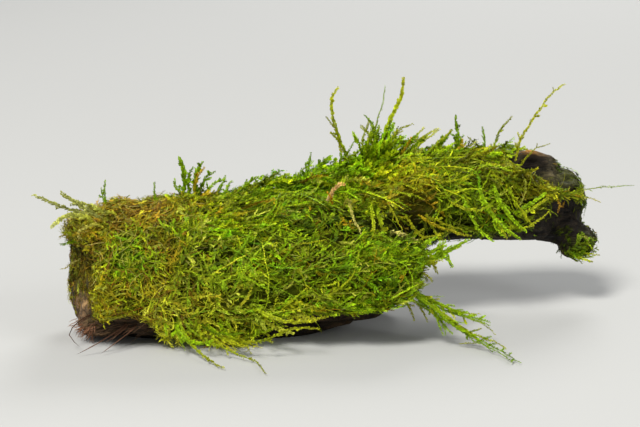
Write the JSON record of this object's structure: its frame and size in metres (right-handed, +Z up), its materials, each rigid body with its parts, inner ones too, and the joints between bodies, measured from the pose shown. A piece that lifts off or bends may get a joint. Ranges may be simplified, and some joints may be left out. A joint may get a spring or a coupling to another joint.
{
  "type": "java moss on driftwood",
  "caption": "Forked piece of dark driftwood with a thick mat of yellow-green java moss over its top and front, and long moss strands standing and trailing clear of it.",
  "frame": {"origin": "middle of the object's box, on the ground that its flat belly rests on", "axes": "+X runs along the log from its broken end to the far tip of the back branch, +Y runs away from its mossy front, +Z is up"},
  "size_m": [0.2603, 0.1323, 0.105],
  "materials": {
    "driftwood": "rough, damp, grained along the log",
    "moss": "wet, tangled, satin",
    "moss_strand": "wet, leafy, satin",
    "bark_fibre": "rough, fibrous"
  },
  "bodies": {
    "root": {"trunk": "driftwood", "front_branch": "driftwood", "back_branch": "driftwood", "moss_trunk": "moss", "moss_front_branch": "moss", "moss_back_branch": "moss", "moss_foot": "moss", "strand_left_long": "moss_strand", "strand_left_upper": "moss_strand", "strand_left_lower": "moss_strand", "strand_left_top_1": "moss_strand", "strand_left_top_2": "moss_strand", "strand_crest_left_1": "moss_strand", "strand_crest_left_2": "moss_strand", "strand_mid_tall": "moss_strand", "strand_mid_highest": "moss_strand", "strand_mid_thin": "moss_strand", "strand_mid_left": "moss_strand", "strand_mid_side_1": "moss_strand", "strand_mid_side_2": "moss_strand", "strand_mid_side_3": "moss_strand", "strand_right_upright": "moss_strand", "strand_right_short": "moss_strand", "strand_right_slant": "moss_strand", "strand_right_long": "moss_strand", "strand_right_side": "moss_strand", "strand_far_right": "moss_strand", "strand_end_small": "moss_strand", "strand_end_bow": "moss_strand", "strand_fork_upper": "moss_strand", "strand_fork_lower": "moss_strand", "strand_trail_right": "moss_strand", "strand_trail_side": "moss_strand", "strand_trail_front": "moss_strand", "strand_trail_left": "moss_strand", "strand_trail_sweep": "moss_strand", "strand_trail_short": "moss_strand", "splinter_long": "bark_fibre", "splinter_hooked": "bark_fibre", "splinter_short": "bark_fibre"}
  },
  "joints": []
}
